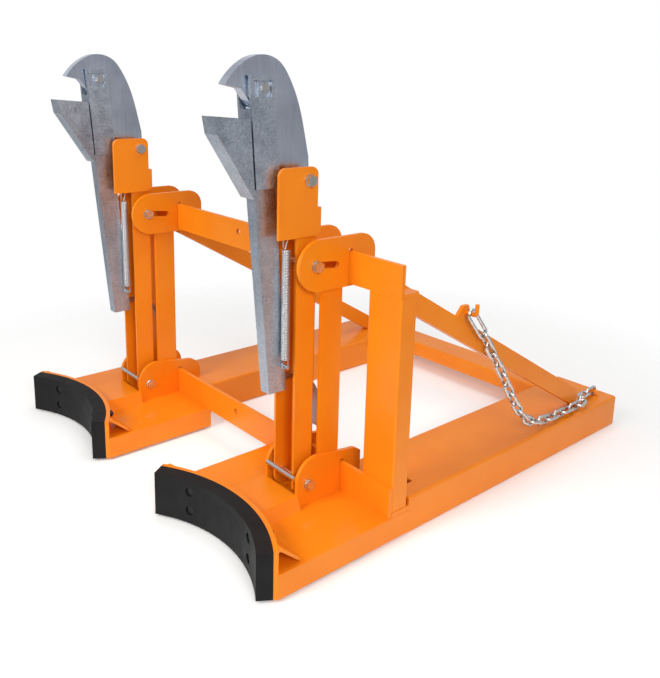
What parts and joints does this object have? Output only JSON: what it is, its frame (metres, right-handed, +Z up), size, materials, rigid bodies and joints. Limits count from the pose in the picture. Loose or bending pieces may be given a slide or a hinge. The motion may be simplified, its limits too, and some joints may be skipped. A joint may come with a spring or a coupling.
{
  "type": "drum lifter",
  "caption": "Fork-mounted drum lifter: padded saddles, tilting masts with spring-loaded beak-and-jaw rim clamps, fork pockets, flat cross bars and a safety chain.",
  "frame": {"origin": "on the floor under the middle of the whole lifter's outline", "axes": "+Z up, +Y towards the truck (the pockets' open rear ends), -Y towards the drums, +X to the side with the outboard post"},
  "size_m": [0.968, 1.0748, 0.8585],
  "materials": {
    "orange_paint": "gloss",
    "lever_metal": "bright zinc plating",
    "beak_metal": "bright zinc plating with a fine brushed grain",
    "bolts": "bright zinc plating",
    "black_bolts": "black oxide",
    "spring_steel": "bright drawn wire",
    "zinc_chain": "bright zinc plating",
    "pad_rubber": "matte"
  },
  "bodies": {
    "frame": {"chain_eye": "orange_paint", "chain_hook": "orange_paint", "end_post": "orange_paint", "left_base_box": "orange_paint", "left_base_spine": "orange_paint", "left_brace": "orange_paint", "left_fork_pocket": "orange_paint", "left_lower_brackets": "orange_paint", "left_pad_bolts": "black_bolts", "left_pivot_bolt": "bolts", "left_pivot_bushes": "bolts", "left_saddle_gussets": "orange_paint", "left_saddle_pad": "pad_rubber", "left_saddle_plate": "orange_paint", "left_stop_rod": "bolts", "left_upper_brackets": "orange_paint", "left_uprights": "orange_paint", "lower_cross_bar": "orange_paint", "post_cap": "orange_paint", "post_foot": "orange_paint", "rear_cross_bar": "orange_paint", "right_base_box": "orange_paint", "right_base_spine": "orange_paint", "right_brace": "orange_paint", "right_fork_pocket": "orange_paint", "right_lower_brackets": "orange_paint", "right_pad_bolts": "black_bolts", "right_pivot_bolt": "bolts", "right_pivot_bushes": "bolts", "right_saddle_gussets": "orange_paint", "right_saddle_pad": "pad_rubber", "right_saddle_plate": "orange_paint", "right_stop_rod": "bolts", "right_upper_brackets": "orange_paint", "right_uprights": "orange_paint", "safety_chain": "zinc_chain", "snap_hook": "zinc_chain", "upper_cross_bar": "orange_paint"},
    "left_mast": {"left_mast_arm": "orange_paint", "left_slot_bolt": "bolts", "left_slot_bushes": "orange_paint", "left_head_bracket": "orange_paint", "left_head_spacers": "orange_paint", "left_head_bolt": "bolts", "left_spring": "spring_steel"},
    "left_beak": {"left_beak": "beak_metal"},
    "left_jaw": {"left_jaw_lever": "lever_metal", "left_jaw_bolt": "bolts", "left_lever_tail": "lever_metal"},
    "right_mast": {"right_mast_arm": "orange_paint", "right_slot_bolt": "bolts", "right_slot_bushes": "orange_paint", "right_head_bracket": "orange_paint", "right_head_spacers": "orange_paint", "right_head_bolt": "bolts", "right_spring": "spring_steel"},
    "right_beak": {"right_beak": "beak_metal"},
    "right_jaw": {"right_jaw_lever": "lever_metal", "right_jaw_bolt": "bolts", "right_lever_tail": "lever_metal"}
  },
  "joints": [
    {"name": "left_mast_tilt", "type": "hinge", "parent": "frame", "child": "left_mast", "pos_m": [-0.3, -0.3366, 0.09], "axis": [-1, 0, 0], "range_deg": [0, 6.5]},
    {"name": "left_beak_pivot", "type": "hinge", "parent": "left_mast", "child": "left_beak", "pos_m": [-0.3, -0.3366, 0.654], "axis": [-1, 0, 0], "range_deg": [0, 12]},
    {"name": "left_jaw_pivot", "type": "hinge", "parent": "left_beak", "child": "left_jaw", "pos_m": [-0.3, -0.4166, 0.806], "axis": [-1, 0, 0], "range_deg": [0, 12], "deforming": ["left_spring"]},
    {"name": "right_mast_tilt", "type": "hinge", "parent": "frame", "child": "right_mast", "pos_m": [0.3, -0.3366, 0.09], "axis": [-1, 0, 0], "range_deg": [0, 6.5]},
    {"name": "right_beak_pivot", "type": "hinge", "parent": "right_mast", "child": "right_beak", "pos_m": [0.3, -0.3366, 0.654], "axis": [-1, 0, 0], "range_deg": [0, 12]},
    {"name": "right_jaw_pivot", "type": "hinge", "parent": "right_beak", "child": "right_jaw", "pos_m": [0.3, -0.4166, 0.806], "axis": [-1, 0, 0], "range_deg": [0, 12], "deforming": ["right_spring"]}
  ]
}
